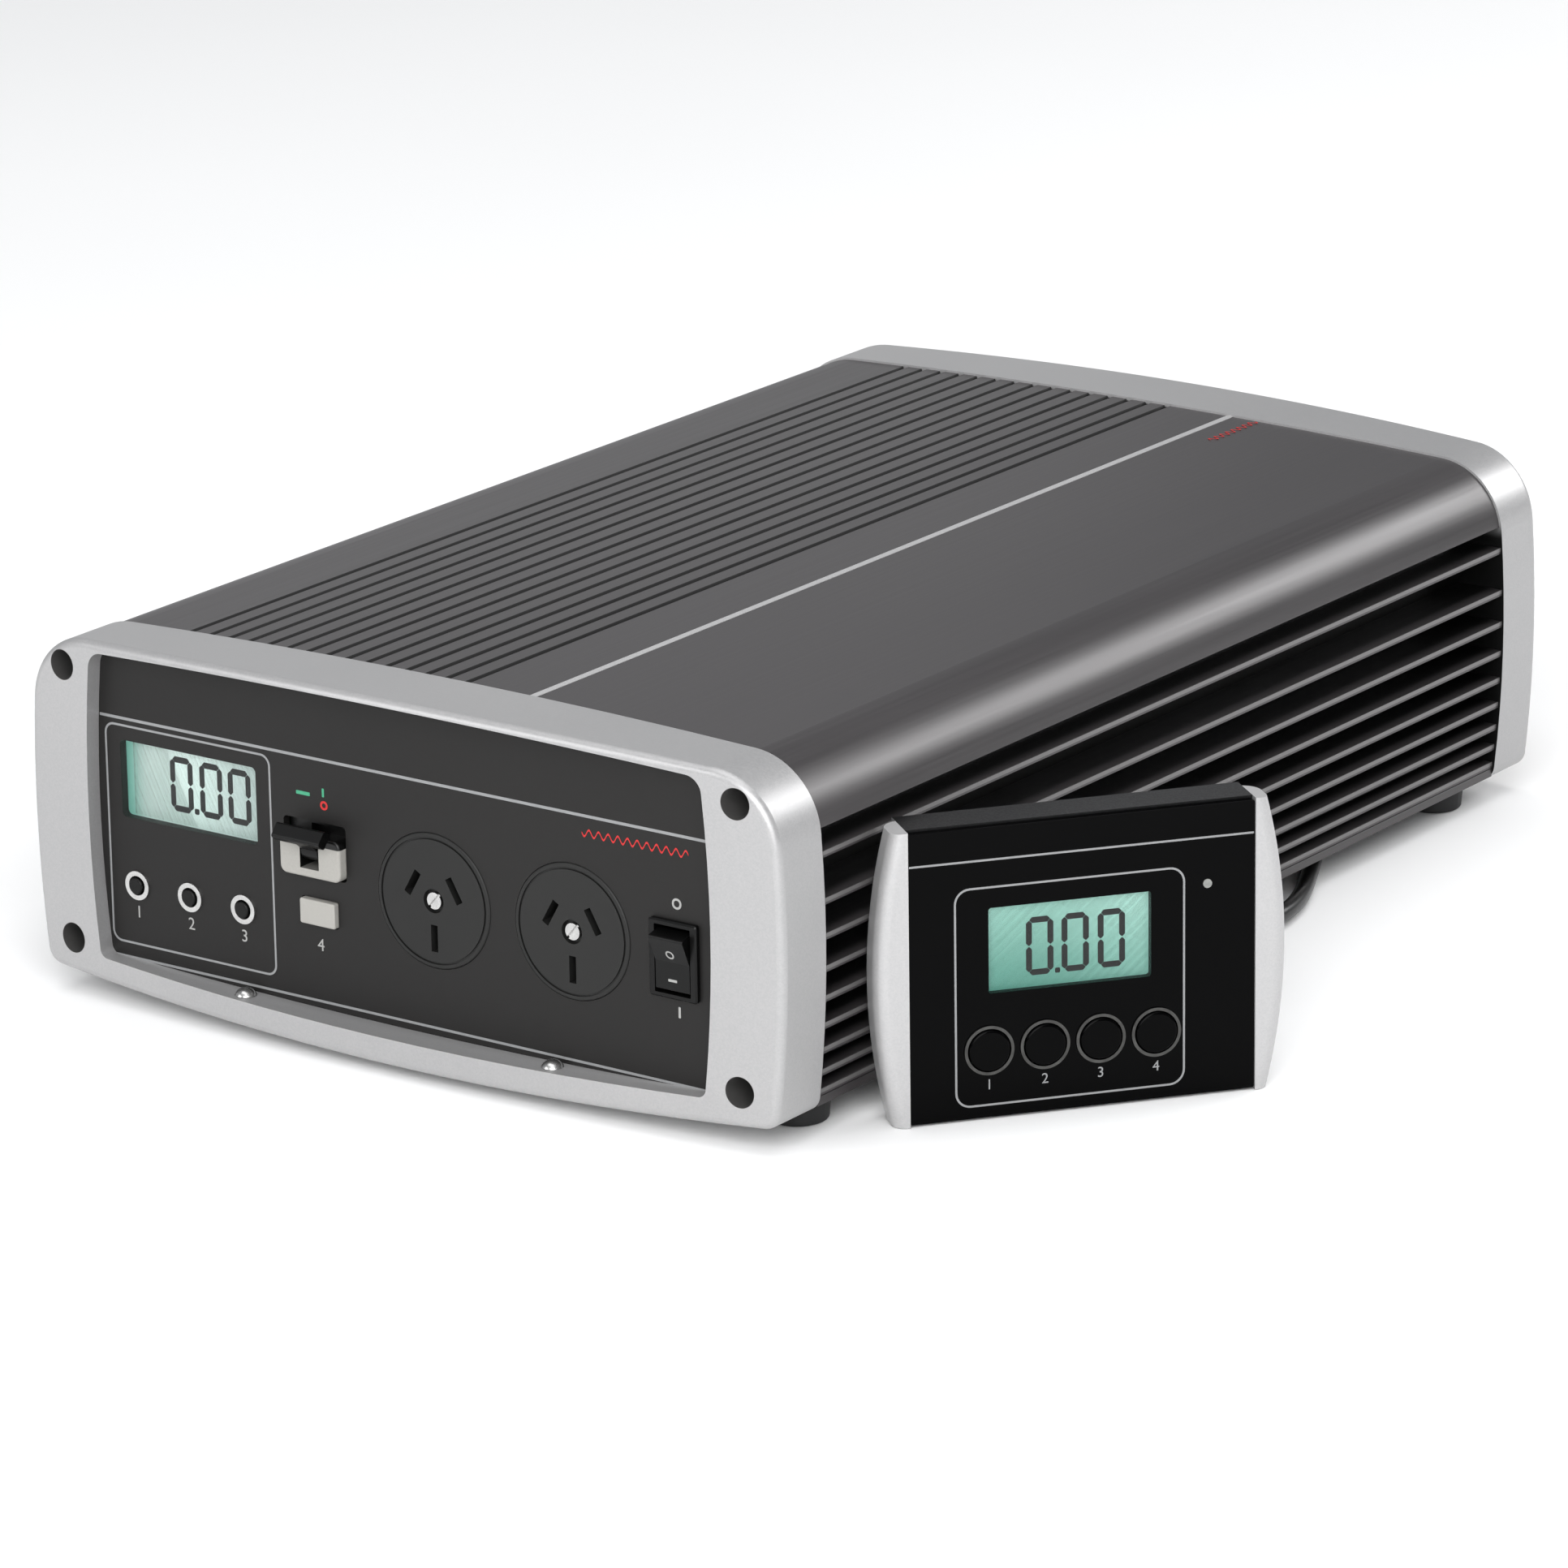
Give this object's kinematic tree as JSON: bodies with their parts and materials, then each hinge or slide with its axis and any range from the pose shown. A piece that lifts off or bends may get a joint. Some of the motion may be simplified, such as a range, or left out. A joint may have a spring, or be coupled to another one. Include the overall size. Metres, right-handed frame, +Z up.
{
  "type": "power inverter",
  "caption": "Power inverter: finned extruded case, silver end frames, meter and outlets on the front, fans and battery posts behind, with a wired remote panel.",
  "frame": {"origin": "centre of the four foot holes, on the plane the feet stand on", "axes": "+X right as seen from the front, +Z up, front panel faces -Y"},
  "size_m": [0.3243, 0.4491, 0.104],
  "materials": {
    "case": "satin anodised",
    "bezel": "satin silver",
    "panel": "satin",
    "bright": "brushed",
    "screw": "dark zinc",
    "rubber": "matte",
    "window": "clear",
    "display": "liquid crystal",
    "board": "solder mask",
    "black_plastic": "moulded",
    "black_gloss": "gloss",
    "ivory": "moulded",
    "brass": "plated",
    "red_plastic": "moulded",
    "remote_shell": "silver paint",
    "ferrite": "ferrite and tape",
    "can": "sleeved can",
    "copper": "bare copper",
    "fuse": "translucent"
  },
  "bodies": {
    "housing": {"base_plate": "case", "base_screws": "screw", "bezel_screws": "screw", "board_standoffs": "brass", "breaker_body": "ivory", "button_rings": "bright", "capacitors": "can", "control_board": "board", "dc_busbars": "copper", "dc_nuts": "bright", "dc_studs": "brass", "earth_stud": "brass", "fan_frames": "black_plastic", "fan_guards": "bright", "fan_screws": "screw", "front_bezel": "bezel", "front_panel": "panel", "fuses": "fuse", "lead_plugs": "black_plastic", "ledge_screws": "bright", "main_board": "board", "meter_board": "board", "meter_display": "display", "meter_window": "window", "output_choke": "ferrite", "power_devices": "black_plastic", "rear_bezel": "bezel", "rear_panel": "panel", "remote_board": "board", "remote_button_rings": "bright", "remote_case": "remote_shell", "remote_display": "display", "remote_faceplate": "black_gloss", "remote_lamp": "display", "remote_lead": "rubber", "remote_port": "black_plastic", "remote_window": "window", "rocker_frame": "black_plastic", "rubber_feet": "rubber", "socket_contacts": "brass", "socket_left": "black_plastic", "socket_right": "black_plastic", "socket_screws": "bright", "terminal_negative": "black_plastic", "terminal_positive": "red_plastic", "top_trim_strip": "bright", "transformers": "ferrite", "upper_case": "case"},
    "volts_button_body": {"volts_button": "black_plastic"},
    "load_button_body": {"load_button": "black_plastic"},
    "eco_button_body": {"eco_button": "black_plastic"},
    "breaker_toggle_body": {"breaker_toggle": "black_plastic"},
    "test_button_body": {"test_button": "ivory"},
    "power_rocker_body": {"power_rocker": "black_plastic"},
    "fan_rotor_left_body": {"fan_rotor_left": "black_plastic"},
    "fan_rotor_right_body": {"fan_rotor_right": "black_plastic"},
    "remote_button_1_body": {"remote_button_1": "black_gloss"},
    "remote_button_2_body": {"remote_button_2": "black_gloss"},
    "remote_button_3_body": {"remote_button_3": "black_gloss"},
    "remote_button_4_body": {"remote_button_4": "black_gloss"}
  },
  "joints": [
    {"name": "volts_button_press", "type": "slide", "parent": "housing", "child": "volts_button_body", "axis": [0, 1, 0], "range_m": [0, 0.001], "stiffness_N_per_m": 600, "springref_m": -0.0005},
    {"name": "load_button_press", "type": "slide", "parent": "housing", "child": "load_button_body", "axis": [0, 1, 0], "range_m": [0, 0.001], "stiffness_N_per_m": 600, "springref_m": -0.0005},
    {"name": "eco_button_press", "type": "slide", "parent": "housing", "child": "eco_button_body", "axis": [0, 1, 0], "range_m": [0, 0.001], "stiffness_N_per_m": 600, "springref_m": -0.0005},
    {"name": "test_button_press", "type": "slide", "parent": "housing", "child": "test_button_body", "axis": [0, 1, 0], "range_m": [0, 0.001], "stiffness_N_per_m": 800, "springref_m": -0.0005},
    {"name": "remote_button_1_press", "type": "slide", "parent": "housing", "child": "remote_button_1_body", "axis": [-0.7864, 0.6177, 0], "range_m": [0, 0.0008], "stiffness_N_per_m": 600, "springref_m": -0.0005},
    {"name": "remote_button_2_press", "type": "slide", "parent": "housing", "child": "remote_button_2_body", "axis": [-0.7864, 0.6177, 0], "range_m": [0, 0.0008], "stiffness_N_per_m": 600, "springref_m": -0.0005},
    {"name": "remote_button_3_press", "type": "slide", "parent": "housing", "child": "remote_button_3_body", "axis": [-0.7864, 0.6177, 0], "range_m": [0, 0.0008], "stiffness_N_per_m": 600, "springref_m": -0.0005},
    {"name": "remote_button_4_press", "type": "slide", "parent": "housing", "child": "remote_button_4_body", "axis": [-0.7864, 0.6177, 0], "range_m": [0, 0.0008], "stiffness_N_per_m": 600, "springref_m": -0.0005},
    {"name": "breaker_toggle_turn", "type": "hinge", "parent": "housing", "child": "breaker_toggle_body", "pos_m": [-0.0293, -0.183, 0.0552], "axis": [1, 0, 0], "range_deg": [0, 80]},
    {"name": "power_rocker_turn", "type": "hinge", "parent": "housing", "child": "power_rocker_body", "pos_m": [0.089, -0.1824, 0.0469], "axis": [1, 0, 0], "range_deg": [-24, 0]},
    {"name": "fan_rotor_left_spin", "type": "hinge", "parent": "housing", "child": "fan_rotor_left_body", "pos_m": [-0.066, 0.172, 0.057], "axis": [0, 1, 0], "continuous": true},
    {"name": "fan_rotor_right_spin", "type": "hinge", "parent": "housing", "child": "fan_rotor_right_body", "pos_m": [-0.002, 0.172, 0.057], "axis": [0, 1, 0], "continuous": true}
  ]
}
